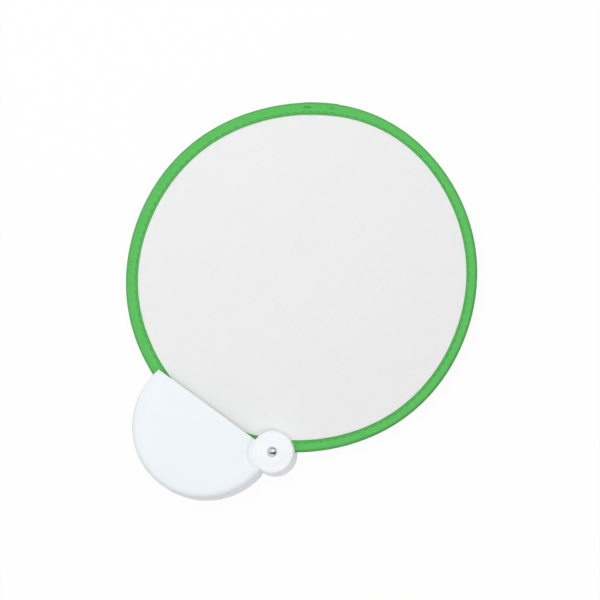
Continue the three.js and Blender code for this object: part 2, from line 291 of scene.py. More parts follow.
def grid(points, around=False):
    """Quads between the points of one or more grids, whose last two axes are rows and columns. Around
    joins the last column to the first."""
    index = np.arange(points[..., 0].size).reshape(points.shape[:-1])
    if around:
        index = np.concatenate([index, index[..., :1]], axis=-1)
    quads = [index[..., :-1, :-1], index[..., :-1, 1:], index[..., 1:, 1:], index[..., 1:, :-1]]
    loops = np.stack(quads, axis=-1).ravel()
    return points.reshape(-1, 3), loops, np.full(len(loops) // 4, 4)


def plate_face(*runs):
    """One flat face whose outline is the given runs of points, one after the other."""
    points = np.concatenate(runs)
    return points, np.arange(len(points)), np.array([len(points)])


def joined(*parts):
    """Several surfaces as one: points, face corners and face sizes set end to end."""
    points, loops, sizes = zip(*parts)
    starts = np.cumsum([0] + [len(run) for run in points[:-1]])
    loops = [run + start for run, start in zip(loops, starts)]
    return np.concatenate(points), np.concatenate(loops), np.concatenate(sizes)


def between(start, stop, steps):
    """Columns spread evenly from one column to another, without the first."""
    share = np.linspace(0, 1, steps + 1)[1:]
    return start + (stop - start) * share


def round_run(centre, radius, start, stop, steps):
    """Points of a round in a section, from one angle to another in degrees, as (radius, height) rows."""
    angle = np.radians(np.linspace(start, stop, steps + 1))
    return np.stack([centre[0] + radius * np.cos(angle), centre[1] + radius * np.sin(angle)], axis=-1)


def smooth_run(controls, steps):
    """A smooth curve through control points: on each span a cubic whose slope at a control point is half
    the step between that point's neighbours."""
    points = np.array(controls)
    before = np.vstack([2 * points[0] - points[1], points[:-1]])
    after = np.vstack([points[1:], 2 * points[-1] - points[-2]])
    slope = (after - before) / 2
    where = np.linspace(0, len(points) - 1, steps + 1)
    span = np.minimum(where.astype(int), len(points) - 2)
    t = (where - span)[:, None]
    ends = (2 * t**3 - 3 * t**2 + 1) * points[span] + (3 * t**2 - 2 * t**3) * points[span + 1]
    return ends + (t**3 - 2 * t**2 + t) * slope[span] + (t**3 - t**2) * slope[span + 1]


def turned(section, centre, side, steps):
    """A section of (radius, height) rows carried once round an upright axis: x and y are the centre plus
    the radius times the cosine and sine of the turn, and side -1 puts the heights below the middle
    plane."""
    radius, height = np.array(section).T[..., None]
    turn = np.linspace(0, 2 * np.pi, steps, endpoint=False)
    x = centre[0] + radius * np.cos(turn)
    y = centre[1] + radius * np.sin(turn)
    z = np.broadcast_to(middle + side * height, x.shape)
    return grid(np.stack([x, y, z], axis=-1), around=True)


def make_piece(name, surface, finish, body, replaces=(), uv=None, sharp=38):
    """A piece of a body from a surface. Points that coincide are merged, so seams and poles close, and
    the faces are turned outwards. Edges sharper than the angle, in degrees, stay crisp."""
    points, loops, sizes = surface
    mesh = bpy.data.meshes.new(name)
    mesh.vertices.add(len(points))
    mesh.vertices.foreach_set("co", points.astype(np.float32).ravel())
    mesh.loops.add(len(loops))
    mesh.loops.foreach_set("vertex_index", loops.astype(np.int32))
    mesh.polygons.add(len(sizes))
    starts = np.concatenate([[0], np.cumsum(sizes)[:-1]])
    mesh.polygons.foreach_set("loop_start", starts.astype(np.int32))
    mesh.update(calc_edges=True)
    if uv is not None:
        layer = mesh.uv_layers.new(name="surface")
        layer.uv.foreach_set("vector", uv[loops].astype(np.float32).ravel())
    shape = bmesh.new()
    shape.from_mesh(mesh)
    bmesh.ops.remove_doubles(shape, verts=shape.verts, dist=MERGE)
    bmesh.ops.dissolve_degenerate(shape, edges=shape.edges, dist=MERGE / 2)
    bmesh.ops.recalc_face_normals(shape, faces=shape.faces)
    shape.to_mesh(mesh)
    shape.free()
    mesh.shade_smooth()
    mesh.set_sharp_from_angle(angle=math.radians(sharp))
    mesh.materials.append(finish)
    piece = bpy.data.objects.new(name, mesh)
    bpy.context.scene.collection.objects.link(piece)
    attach(piece, body)
    if replaces:
        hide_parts(*replaces)
    return piece


# Case

def mouth_height(depth):
    """Height of the face at a depth inside the mouth's plane: a quarter round, then flat."""
    into = np.clip(MOUTH_ROUND - depth, 0, MOUTH_ROUND)
    return face - MOUTH_ROUND + np.sqrt(MOUTH_ROUND**2 - into**2)


def groove_share(reach):
    """Share of the groove's depth at a distance from the pivot: half a cosine wave from 1 at the well to
    0 at the groove's outer edge."""
    share = np.clip((reach - well_radius) / GROOVE_WIDTH, 0, 1)
    return 0.5 + 0.5 * np.cos(np.pi * share)


def groove_height(reach):
    """Height of the face at a distance from the pivot, lowered by the groove."""
    return face - GROOVE_DEPTH * groove_share(reach)


def mouth_turn(radius, depth):
    """Turn about the case's centre at which a circle is a depth inside the mouth, on the side away from
    the hub."""
    return np.pi - np.arcsin((mouth - depth) / radius)


def notch_turn(radius):
    """Turn about the case's centre at which a circle leaves the notch's circle about the fan's centre, by
    the law of cosines."""
    span = math.hypot(fan_centre[0], fan_centre[1])
    cosine = (radius**2 + span**2 - notch_radius**2) / (2 * radius * span)
    return math.atan2(fan_centre[1], fan_centre[0]) + np.arccos(cosine)


def hub_turn(radius, reach):
    """Turn about the case's centre at which a circle comes within a distance of the pivot, by the law of
    cosines."""
    cosine = (radius**2 + case_radius**2 - reach**2) / (2 * radius * case_radius)
    return 2 * np.pi + pivot_turn - np.arccos(cosine)


def well_turn(reach, radius):
    """Direction from the pivot, at a distance, to a circle about the case's centre, by the law of
    cosines."""
    cosine = (case_radius**2 + reach**2 - radius**2) / (2 * case_radius * reach)
    return np.pi + pivot_turn + np.arccos(cosine)


def shell_surface(side):
    """Half of the case. Its wall's section is carried round the case's centre from the mouth to the hub,
    with each row of the section ending on the mouth's plane and on the hub's well. A second strip runs
    round the well and a third along the mouth. The face is lowered to the mouth's rounded edge and to the
    groove wherever these are lower, and the groove runs on down the wall's outside. Beside the hub the
    wall is hollowed at the rim's height, by a step that eases in and out. Flat faces close the plate and
    the mouth, and a strip on the well's cylinder closes the wall's end."""
    inner_radius = case_radius - CASE_WALL
    outer_middle = case_radius - CASE_ROUND, face - CASE_ROUND
    inner_middle = inner_radius - CASE_INNER_ROUND, plate - CASE_INNER_ROUND
    foot_middle = case_radius - PARTING_ROUND, PARTING_ROUND
    outside = np.vstack([
        [(support_radius, face)],
        round_run(outer_middle, CASE_ROUND, 90, 0, OUTER_ROUND_STEPS),
        [(case_radius, NOTCH_HALF)],
        round_run(foot_middle, PARTING_ROUND, 0, -90, SMALL_ROUND_STEPS),
    ])
    inside = np.vstack([
        [(inner_radius, 0), (inner_radius, NOTCH_HALF)],
        round_run(inner_middle, CASE_INNER_ROUND, 0, 90, INNER_ROUND_STEPS),
        [(support_radius, plate)],
    ])
    radius, height = np.vstack([outside, inside]).T[..., None]
    is_outside = np.arange(len(radius))[:, None] < len(outside)
    hollow = np.where(is_outside & (height <= NOTCH_HALF), HOLLOW, 0)

    lean = np.linspace(0, np.pi / 2, MOUTH_STEPS + 1)
    depths = MOUTH_ROUND * (1 - np.cos(lean))
    in_groove = np.linspace(GROOVE_WIDTH, 0, GROOVE_STEPS + 1)
    reaches = well_radius + np.concatenate([[GROOVE_WIDTH + FLAT_MARGIN], in_groove])

    tip = mouth_turn(radius, depths)
    notch = notch_turn(radius)
    past_tip = between(tip[:, -1:], notch, TIP_STEPS)
    round_case = between(notch, hub_turn(radius - hollow, reaches[0]), CASE_STEPS)
    on_round = np.clip((radius - case_radius + CASE_ROUND) / CASE_ROUND, 0, 1)
    groove = np.where(is_outside, WALL_GROOVE * on_round, 0) * groove_share(reaches[1:])
    at_hub = hub_turn(radius - np.maximum(hollow, groove), reaches[1:])
    turn = np.hstack([tip, past_tip, notch, round_case, at_hub])
    in_notch = tip.shape[1] + past_tip.shape[1]
    in_flat = in_notch + 1 + round_case.shape[1]
    near_hub = np.clip(1 - (turn[:, -1:] - turn) * case_radius / HOLLOW_LENGTH, 0, 1)
    inward = hollow * (3 * near_hub**2 - 2 * near_hub**3)
    inward[:, in_flat:] = np.maximum(inward[:, in_flat:], groove)
    radius = radius - inward

    height = np.repeat(height, turn.shape[1], axis=1)
    height[:, :in_notch] = np.maximum(height[:, :in_notch], NOTCH_HALF)
    x, y = radius * np.cos(turn), radius * np.sin(turn)
    height = np.minimum(height, mouth_height(mouth - y))
    height = np.minimum(height, groove_height(np.hypot(x - pivot[0], y - pivot[1])))
    wall = np.stack([x, y, middle + side * height], axis=-1)

    reach = reaches[:, None]
    well_start = np.pi + np.arcsin(depths / reach)
    past_mouth = between(well_start[:, -1:], well_turn(reach, support_radius), WELL_STEPS)
    well = np.hstack([well_start, past_mouth])
    x, y = pivot[0] + reach * np.cos(well), pivot[1] + reach * np.sin(well)
    height = np.minimum(mouth_height(mouth - y), groove_height(reach))
    well = np.stack([x, y, middle + side * height], axis=-1)

    across = np.linspace(0, 1, WALL_STEPS + 1)[:, None, None]
    well_foot = well[-1] * (1, 1, 0) + (0, 0, middle + side * plate)
    well_wall = well[-1] + (well_foot - well[-1]) * across
    wall_end = wall[:len(outside), -1] * (1 - across) + wall[len(outside):, -1][::-1] * across
    from_pivot = wall_end[..., :2] - pivot[:2]
    distance = np.linalg.norm(from_pivot, axis=-1, keepdims=True)
    wall_end[..., :2] = pivot[:2] + from_pivot * well_radius / distance

    edge = len(depths)
    once = np.delete(np.arange(turn.shape[1]), in_notch)
    face_columns = once[(once >= edge - 1) & (once < in_flat)]
    return joined(
        grid(wall),
        grid(well),
        grid(np.stack([wall[0, :edge], well[0, :edge]])),
        grid(well_wall),
        grid(wall_end),
        plate_face(wall[0, face_columns], well[0, edge - 1:-1][::-1]),
        plate_face(wall[-1, once], well_foot[:-1][::-1]),
        plate_face(wall[:, 0], well_wall[::-1, 0], well[-2::-1, 0]),
    )


def ear_surface(side):
    """The case's ear inside the hub and the collar that joins it to the plate: a section carried round
    the pivot, with the collar only on the case's side of it."""
    bore = BOSS_RADIUS + RUN_GAP
    rise = plate + PLATE_SINK
    well = hub_radius + RUN_GAP
    with_collar = np.array([
        (bore, ear_low), (collar_radius, ear_low), (collar_radius, rise), (well, rise), (well, ear_high),
        (bore, ear_high), (bore, ear_low),
    ])
    without = np.array([
        (bore, ear_low), (hub_radius, ear_low), (hub_radius, ear_high), (hub_radius, ear_high),
        (hub_radius, ear_high), (bore, ear_high), (bore, ear_low),
    ])
    wall_turn = well_turn(collar_radius, case_radius - CASE_WALL / 2)
    case_side = np.linspace(np.pi, wall_turn, EAR_STEPS)
    free_side = np.linspace(wall_turn, 3 * np.pi, 2 * EAR_STEPS)
    turn = np.concatenate([case_side, free_side])
    choice = np.repeat([0, 1], [len(case_side), len(free_side)])
    radius, height = np.stack([with_collar, without])[choice].T
    x, y = pivot[0] + radius * np.cos(turn), pivot[1] + radius * np.sin(turn)
    return grid(np.stack([x, y, middle + side * height], axis=-1), around=True)


def stud_surface(side, angle):
    """A pin in its boss in the front shell, or the boss with its socket in the back one."""
    place = (case_radius - CASE_WALL - STUD_RADIUS) * np.array([math.cos(angle), math.sin(angle)])
    root = plate + PLATE_SINK
    boss = [(0, root), (STUD_BOSS, root), (STUD_BOSS, RUN_GAP)]
    if side > 0:
        chamfer = STUD_RADIUS / 2
        core = [
            (STUD_RADIUS, RUN_GAP), (STUD_RADIUS, chamfer - STUD_LENGTH), (chamfer, -STUD_LENGTH),
            (0, -STUD_LENGTH),
        ]
    else:
        socket = STUD_RADIUS + STUD_FIT
        depth = STUD_LENGTH + STUD_FIT
        core = [(socket, RUN_GAP), (socket, depth), (0, depth)]
    return turned(boss + core, place, side, STUD_STEPS)


# Hub

def cap_surface(side):
    """A hub cap: its section runs from the boss out under the cap, up the rounded edge and over the face.
    In front it goes on up half a cosine wave to the low pad, and behind it goes down into the rivet's
    recess."""
    if side > 0:
        share = np.linspace(0, 1, PAD_STEPS + 1)
        seat = np.stack([
            PAD_RADIUS + PAD_SLOPE * (1 - share),
            face + PAD_HEIGHT * (0.5 - 0.5 * np.cos(np.pi * share)),
        ], axis=-1)
    else:
        recess = washer_radius + RECESS_GAP
        seat = np.vstack([
            round_run((recess + CAP_EDGE, face - CAP_EDGE), CAP_EDGE, 90, 180, SMALL_ROUND_STEPS),
            [(recess, washer_seat)],
        ])
    section = np.vstack([
        [(bore_radius, jaw_top), (BOSS_RADIUS, jaw_top), (BOSS_RADIUS, cap_foot)],
        round_run((hub_radius - CAP_EDGE, cap_foot + CAP_EDGE), CAP_EDGE, -90, 0, SMALL_ROUND_STEPS),
        round_run((hub_radius - CAP_ROUND, face - CAP_ROUND), CAP_ROUND, 0, 90, CAP_STEPS),
        [(hub_radius - CAP_ROUND - FLAT_MARGIN, face)],
        seat,
        [(bore_radius, seat[-1][1]), (bore_radius, jaw_top)],
    ])
    return turned(section, pivot, side, HUB_STEPS)


def jaw_surface(side):
    """A jaw of the clamp: a disc about the rivet whose inner face follows the fan's rim. At a distance
    from the fan's centre the inner face is at the parting beyond the rim, over the bead at the rim, and
    over the flat tape inside it."""
    outer = np.linspace(bore_radius, hub_radius, JAW_STEPS + 1)[:, None]
    turn = np.linspace(0, 2 * np.pi, HUB_STEPS, endpoint=False)
    x, y = pivot[0] + outer * np.cos(turn), pivot[1] + outer * np.sin(turn)
    from_fan = x - fan_centre[0], y - fan_centre[1]
    inset = rim_radius(np.arctan2(*from_fan[::-1])) - np.hypot(*from_fan)
    parting, bead, tape = JAW_PARTING / 2, bead_half + JAW_GAP, FLANGE_HALF + JAW_GAP
    bead_ends = -JAW_GAP, BEAD_WIDTH + JAW_GAP
    places = [bead_ends[0] - JAW_SLOPE, *bead_ends, bead_ends[1] + JAW_SLOPE]
    inner_face = np.interp(inset, places, [parting, bead, bead, tape])
    inner = np.stack([x, y, middle + side * inner_face], axis=-1)
    outer_face = np.stack([x, y, np.full(x.shape, middle + side * jaw_top)], axis=-1)
    return grid(np.concatenate([inner, outer_face[::-1], inner[:1]]), around=True)


def rivet_surface():
    """The rivet: an elliptic dome on a short upright edge, the shank, and a tail rolled outwards round a
    hollow."""
    seat = face + PAD_HEIGHT
    dome_foot = seat + HEAD_EDGE
    turn = np.linspace(0, np.pi / 2, DOME_STEPS + 1)
    dome_height = dome_foot + (head_top - dome_foot) * np.sin(turn)
    dome = np.stack([head_radius * np.cos(turn), dome_height], axis=-1)
    dome[-1, 0] = 0  # so that the dome's top lies on the axis
    curl = (tail_end - washer_top) / 2
    hollow = [
        (TAIL_CUP + 2 * curl, -tail_end), (TAIL_CUP + curl, TAIL_LIP - tail_end), (TAIL_CUP, -washer_top),
        (TAIL_CUP / 2, CUP_SHARE * CUP_DEPTH - washer_top), (0, CUP_DEPTH - washer_top),
    ]
    section = np.vstack([
        dome[::-1],
        [(head_radius, seat), (SHANK_RADIUS, seat), (SHANK_RADIUS, -washer_top)],
        round_run((TAIL_RADIUS - curl, -washer_top - curl), curl, 90, -90, TAIL_STEPS),
        smooth_run(hollow, TAIL_STEPS),
    ])
    return turned(section, pivot, 1, RIVET_STEPS)


def washer_surface():
    """The washer: a flat ring with rounded edges."""
    edge = (washer_top - washer_seat) / 4
    section = np.vstack([
        round_run((washer_radius - edge, washer_seat + edge), edge, -90, 0, SMALL_ROUND_STEPS),
        round_run((washer_radius - edge, washer_top - edge), edge, 0, 90, SMALL_ROUND_STEPS),
        [(bore_radius, washer_top), (bore_radius, washer_seat), (washer_radius - edge, washer_seat)],
    ])
    return turned(section, pivot, -1, RIVET_STEPS)


# Fan

def waves(turn, terms):
    """Sum of the waves at a turn round the fan, in metres."""
    count, cosine, sine = np.array(terms).T
    angle = np.multiply.outer(turn, count)
    return (np.cos(angle) @ cosine + np.sin(angle) @ sine) * MM


def rim_radius(turn, inset=0.0):
    """Radius at an inset from the fan's outer edge: the edge with its waves, less the inset stretched by
    the tape's waves."""
    return fan_radius + waves(turn, RIM_WAVES) - inset * (1 + waves(turn, TAPE_WAVES) / BINDING_WIDTH)


def on_fan(radius, turn, height):
    """Points about the fan's centre at a radius, a turn and a height from its middle plane."""
    x, y = fan_centre[0] + radius * np.cos(turn), fan_centre[1] + radius * np.sin(turn)
    return np.stack([x, y, np.broadcast_to(middle + height, x.shape)], axis=-1)


def cloth_surface():
    """The cloth disc: two faces a cloth's thickness apart that share one wave. The wave is a few broad
    swells that die out at the edge, plus puckers that grow towards the seam and vary round it in pitch
    and strength."""
    inner_rings, outer_rings = CLOTH_RINGS
    inner_share = np.linspace(0, RINGS_CLOSER, inner_rings + 1)
    outer_share = np.linspace(RINGS_CLOSER, 1, outer_rings + 1)
    share = np.concatenate([inner_share, outer_share[1:]])[:, None]
    turn = np.linspace(0, 2 * np.pi, CLOTH_STEPS, endpoint=False)
    swell = sum(share**count * np.cos(count * turn + phase) for count, phase in SWELLS)
    growth = np.clip((share - PUCKER_START) / PUCKER_GROWTH, 0, 1)
    near_seam = growth * np.clip((1 - share) / PUCKER_END, 0, 1)
    wander = 2 * np.sin(5 * turn)
    strength = 0.6 + 0.4 * np.sin(7 * turn + 1)
    pucker = np.sin(PUCKER_COUNT * turn + wander) * strength
    wave = SWELL_HEIGHT * (1 - share**2) * swell + PUCKER_HEIGHT * near_seam * pucker
    radius = share * (cloth_radius + waves(turn, RIM_WAVES))
    front = on_fan(radius, turn, wave + cloth_half)
    back = on_fan(radius, turn, wave - cloth_half)
    return grid(np.concatenate([front, back[::-1]]), around=True)


def tape_runs():
    """Half of the tape's section, from the fold at the fan's outer edge to the sewn edge on the cloth, as
    (inset, height) rows of its outside and of its inside. The control points are in millimetres."""
    outside = [
        (0, 0), (0.1, 0.6), (0.45, 1.22), (1.1, 1.64), (1.9, bead_half / MM), (2.7, 1.58), (3.5, 1.2),
        (4.4, 0.9), (5.2, 0.79), (6.05, 0.73), (6.7, 0.76), (7.2, 0.77), (7.7, 0.77), (7.95, 0.7),
        (8, 0.58),
    ]
    inside = [
        (0.35, 0), (0.45, 0.5), (0.75, 0.98), (1.25, 1.3), (1.9, 1.4), (2.6, 1.24), (3.4, 0.86),
        (4.4, 0.54), (5.4, 0.44), (6.3, 0.4), (7.4, 0.4), (7.9, 0.42),
    ]
    return smooth_run(np.array(outside) * MM, FACE_STEPS), smooth_run(np.array(inside) * MM, LINING_STEPS)


def lap_share(turn):
    """1 where the tape's two ends lap and 0 elsewhere, with a short smooth step at each end of the
    lap."""
    from_end = LAP_LENGTH / 2 - np.abs(turn - LAP_ANGLE) * fan_radius
    return 0.5 + 0.5 * np.tanh(2 * from_end / LAP_FADE)


def binding_surface():
    """The folded tape: its section carried once round the fan. Outside faces stand proud where the tape's
    two ends lap, and dip a little at each needle hole, along the section's normal. The surface map runs
    along the tape and across it, in metres."""
    outside, inside = tape_runs()
    mirror = np.array([1, -1])
    outside = np.vstack([outside[::-1] * mirror, outside[1:]])
    slope = np.gradient(outside, axis=0)
    normal = slope[:, ::-1] * (-1, 1) / np.hypot(*slope.T)[:, None]
    inside = np.vstack([inside[::-1], inside[1:] * mirror])
    section = np.vstack([outside, inside, outside[:1]])
    normal = np.vstack([normal, np.zeros(inside.shape), normal[:1]])
    across = np.concatenate([[0], np.cumsum(np.hypot(*np.diff(section, axis=0).T))])

    turn = np.linspace(0, 2 * np.pi, STITCH_COUNT * STITCH_STEPS + 1)
    inset, height = section.T[..., None]
    inwards, upwards = normal.T[..., None]
    needle = 0.5 + 0.5 * np.cos(STITCH_COUNT * turn)
    dimple = needle * np.exp(-(((inset - STITCH_INSET) / DIMPLE_REACH) ** 2))
    rise = LAP_RISE * lap_share(turn) - STITCH_DIMPLE * dimple
    radius = rim_radius(turn, inset) - rise * inwards
    surface = grid(on_fan(radius, turn, height + rise * upwards))
    along = np.broadcast_to(turn * fan_radius, radius.shape)
    across = np.broadcast_to(across[:, None], radius.shape)
    return surface, np.stack([along, across], axis=-1).reshape(-1, 2)


def strip_surface():
    """The spring strip: a flat section with rounded edges carried round the fan from one end to the
    other, with a small parting between the ends."""
    thickness, high = STRIP
    edge = thickness / 2
    section = np.vstack([
        round_run((STRIP_INSET, high / 2 - edge), edge, 180, 0, STRIP_EDGE_STEPS),
        round_run((STRIP_INSET, edge - high / 2), edge, 0, -180, STRIP_EDGE_STEPS),
    ])
    section = np.vstack([section, section[:1]])
    end = STRIP_PARTING / 2 / fan_radius
    turn = np.linspace(SLEEVE_ANGLE + end, SLEEVE_ANGLE + 2 * np.pi - end, STRIP_STEPS + 1)
    inset, height = section.T[..., None]
    strip = on_fan(rim_radius(turn, inset), turn, height)
    return joined(grid(strip), plate_face(strip[:-1, 0]), plate_face(strip[:-1, -1]))


def sleeve_surface():
    """The sleeve on the strip's ends: a flat tube, carried along the rim outside and back again
    inside."""
    reach = SLEEVE_LENGTH / 2 / fan_radius
    turn = np.linspace(SLEEVE_ANGLE - reach, SLEEVE_ANGLE + reach, SLEEVE_STEPS + 1)[:, None]

    def tube(margin):
        """A box section carried along the rim, larger than the strip by a margin all round."""
        across, high = STRIP[0] / 2 + margin, STRIP[1] / 2 + margin
        inset = STRIP_INSET + np.array([-across, across, across, -across])
        return on_fan(rim_radius(turn, inset), turn, np.array([-high, -high, high, high]))

    outside, inside = tube(SLEEVE_FIT + SLEEVE_WALL), tube(SLEEVE_FIT)
    return grid(np.concatenate([outside, inside[::-1], outside[:1]]), around=True)


def threads(turn, inset, length, radial, side):
    """Short stitches that follow the tape's outside: each is a spindle, a circle whose radius shrinks to
    its two ends as the root of one minus the square of the way along, bowed up in the middle. Radial 1
    lays it across the tape, 0 along it."""
    way = np.linspace(-1, 1, THREAD_STEPS + 1)[:, None]
    round_turn = np.linspace(0, 2 * np.pi, THREAD_STEPS, endpoint=False)
    spindle = np.sqrt(np.clip(1 - way**2, 0, 1)) * THREAD / 2
    aside = spindle * np.cos(round_turn)
    along = np.broadcast_to(way * length / 2, aside.shape)
    up = spindle * np.sin(round_turn) + THREAD_BOW * THREAD * (1 - way**2)
    turn = np.array(turn)[:, None, None]
    tape_height = np.interp(inset - radial * along, *tape_runs()[0].T) + LAP_RISE * lap_share(turn)
    radius = rim_radius(turn, inset) + (along if radial else aside)
    turn = turn + (aside if radial else along) / (fan_radius - inset)
    return grid(on_fan(radius, turn, side * (tape_height - STITCH_SINK + up)), around=True)


def stitch_surface():
    """The row of stitches on both faces of the binding, and the tacks across the tape at the ends of the
    lap."""
    pitch = 2 * np.pi / STITCH_COUNT
    row = pitch * (np.arange(STITCH_COUNT) + 0.5)
    parts = [threads(row, STITCH_INSET, STITCH_LENGTH, 0, side) for side in (1, -1)]
    for place, count in TACKS:
        spread = (np.arange(count) - (count - 1) / 2) * TACK_PITCH / fan_radius
        parts += [threads(place + spread, TACK_INSET, TACK_LENGTH, 1, side) for side in (1, -1)]
    return joined(*parts)


# Finishes

def new_finish(name, colour, roughness, **sockets):
    """A finish with its constant values on the shader's own sockets."""
    finish = bpy.data.materials.new(name)
    finish.use_nodes = True
    shader = finish.node_tree.nodes["Principled BSDF"]
    values = {"Base Color": (*colour, 1), "Roughness": roughness}
    values.update({key.replace("_", " "): value for key, value in sockets.items()})
    for key, value in values.items():
        shader.inputs[key].default_value = value
    return finish, finish.node_tree, shader


def add_node(tree, kind, *inputs, **settings):
    """A node with its settings, and its inputs in order: a socket is linked, None is left alone, and
    anything else is a value."""
    made = tree.nodes.new(kind)
    for key, value in settings.items():
        setattr(made, key, value)
    for socket, value in zip(made.inputs, inputs):
        if isinstance(value, bpy.types.NodeSocket):
            tree.links.new(value, socket)
        elif value is not None:
            socket.default_value = value
    return made


def maths(tree, operation, *inputs):
    """Result of an operation on sockets or numbers."""
    return add_node(tree, "ShaderNodeMath", *inputs, operation=operation).outputs[0]


def eased(tree, share, start, stop, low, high):
    """A value that eases from low at start to high at stop."""
    ends = start, stop, low, high
    spread = add_node(tree, "ShaderNodeMapRange", share, *ends, interpolation_type="SMOOTHSTEP")
    return spread.outputs[0]


def place_of(tree):
    """Object coordinates, in the frame's metres."""
    return add_node(tree, "ShaderNodeTexCoord").outputs["Object"]


def noise(tree, place, cells, detail=2.0, stretch=(1, 1, 1)):
    """Soft noise with so many cells to the metre, stretched along the axes."""
    placed = add_node(tree, "ShaderNodeMapping", place, None, None, stretch).outputs[0]
    return add_node(tree, "ShaderNodeTexNoise", placed, None, cells, detail).outputs["Fac"]


def tint(tree, shader, share, colour, dark, light):
    """Base colour between a dark and a light shade of a colour, by a share from 0 to 1."""
    ramp = add_node(tree, "ShaderNodeValToRGB", share)
    for stop, shade in zip(ramp.color_ramp.elements, (dark, light)):
        stop.color = (*[min(1, shade * part) for part in colour], 1)
    tree.links.new(ramp.outputs[0], shader.inputs["Base Color"])


def roughen(tree, shader, share, low, high):
    """Roughness between two values by a share from 0 to 1."""
    spread = add_node(tree, "ShaderNodeMapRange", share, 0.0, 1.0, low, high)
    tree.links.new(spread.outputs[0], shader.inputs["Roughness"])


def relief(tree, shader, height, depth, strength):
    """Bump of a given depth in metres from a height between 0 and 1."""
    bump = add_node(tree, "ShaderNodeBump", strength, depth)
    tree.links.new(height, bump.inputs["Height"])
    tree.links.new(bump.outputs[0], shader.inputs["Normal"])


def moulded_plastic(name, colour, roughness):
    """Satin moulded plastic: a faint cloudiness, a fine orange-peel relief and a gloss that varies a
    little."""
    finish, tree, shader = new_finish(name, colour, roughness, IOR=1.49, Specular_IOR_Level=0.45)
    place = place_of(tree)
    tint(tree, shader, noise(tree, place, cells=45), colour, dark=0.975, light=1.02)
    gloss = noise(tree, place, cells=160, detail=3)
    roughen(tree, shader, gloss, low=roughness - 0.05, high=roughness + 0.06)
    relief(tree, shader, noise(tree, place, cells=1300, detail=3), depth=0.02 * MM, strength=0.5)
    return finish


def white_cloth():
    """Plain-woven polyester: threads over and under each other, just under half a millimetre apart, with
    slubs along both threads. Shade is painted into its colour where the weave lies low."""
    finish, tree, shader = new_finish(
        "white_cloth", CLOTH_WHITE, roughness=0.85, Sheen_Weight=0.08, Specular_IOR_Level=0.25,
    )
    place = place_of(tree)
    axes = add_node(tree, "ShaderNodeSeparateXYZ", place).outputs
    turn = math.pi / CLOTH_PITCH
    wave = [maths(tree, "SINE", maths(tree, "MULTIPLY", axes[i], turn)) for i in (0, 1)]
    weave = maths(tree, "MULTIPLY_ADD", maths(tree, "MULTIPLY", *wave), 0.5, 0.5)
    slubs = [noise(tree, place, cells=60, stretch=stretch) for stretch in ((1, 24, 1), (24, 1, 1))]
    weave_part = maths(tree, "MULTIPLY", weave, 1 - SLUB_SHARE)
    height = maths(tree, "MULTIPLY_ADD", maths(tree, "ADD", *slubs), SLUB_SHARE, weave_part)
    # Painted shade: the weave's low places come out darker in the colour, while the slubs vary its tone
    tint(tree, shader, height, CLOTH_WHITE, dark=0.93, light=1.06)
    relief(tree, shader, height, depth=0.05 * MM, strength=0.5)
    return finish


def green_tape():
    """Ribbed binding tape: ribs across the tape, crossed by a finer warp, with a mottled tone. Shade is
    painted
    into its colour: darker in the weave's hollows, on the fold and along the sewn edges."""
    finish, tree, shader = new_finish(
        "green_tape", TAPE_GREEN, roughness=0.75, Sheen_Weight=0.15, Specular_IOR_Level=0.3,
    )
    surface = add_node(tree, "ShaderNodeUVMap", uv_map="surface").outputs[0]
    along, across = add_node(tree, "ShaderNodeSeparateXYZ", surface).outputs[:2]
    rib = maths(tree, "SINE", maths(tree, "MULTIPLY", along, RIB_COUNT / fan_radius))
    warp = maths(tree, "SINE", maths(tree, "MULTIPLY", across, math.pi / WARP_PITCH))
    weave = maths(tree, "MULTIPLY_ADD", maths(tree, "MULTIPLY", rib, warp), 0.5, 0.5)
    mottle = maths(tree, "MULTIPLY", noise(tree, surface, cells=260, detail=3), MOTTLE_SHARE)
    height = maths(tree, "MULTIPLY_ADD", weave, 1 - MOTTLE_SHARE, mottle)
    fold_at = np.hypot(*np.diff(tape_runs()[0], axis=0).T).sum()
    from_fold = maths(tree, "ABSOLUTE", maths(tree, "SUBTRACT", across, fold_at))
    from_edge = maths(tree, "SUBTRACT", fold_at, from_fold)
    # Painted shade: the weave's hollows come out darker in the colour, while the mottle varies its tone
    shade = maths(tree, "MULTIPLY_ADD", height, WEAVE_SHARE, 1 - WEAVE_SHARE)
    # Painted shade: bands that darken the colour on the fold and beside the sewn edges
    for distance, (start, full, depth) in ((from_fold, FOLD_PAINTED_SHADE), (from_edge, SEWN_EDGE_PAINTED_SHADE)):
        shade = maths(tree, "ADD", shade, eased(tree, distance, start, full, 0.0, depth))
    tint(tree, shader, shade, TAPE_GREEN, *TAPE_SHADES)
    relief(tree, shader, height, depth=0.08 * MM, strength=0.6)
    return finish


def green_thread():
    """Twisted sewing thread: light and dark plies across its run."""
    finish, tree, shader = new_finish("green_thread", THREAD_GREEN, roughness=0.6, Sheen_Weight=0.2)
    ply = noise(tree, place_of(tree), cells=2600, detail=1)
    tint(tree, shader, ply, THREAD_GREEN, dark=0.65, light=1.35)
    relief(tree, shader, ply, depth=0.05 * MM, strength=0.6)
    return finish


def bright_metal(name, colour, roughness, grain):
    """Plated or rolled metal: fine scratches, drawn out along X by the grain, in the colour, gloss and
    relief."""
    finish, tree, shader = new_finish(name, colour, roughness, Metallic=1.0)
    scratch = noise(tree, place_of(tree), cells=900, detail=4, stretch=(1, grain, grain))
    tint(tree, shader, scratch, colour, dark=0.86, light=1.08)
    roughen(tree, shader, scratch, low=roughness - 0.04, high=roughness + 0.08)
    relief(tree, shader, scratch, depth=0.01 * MM, strength=0.25)
    return finish


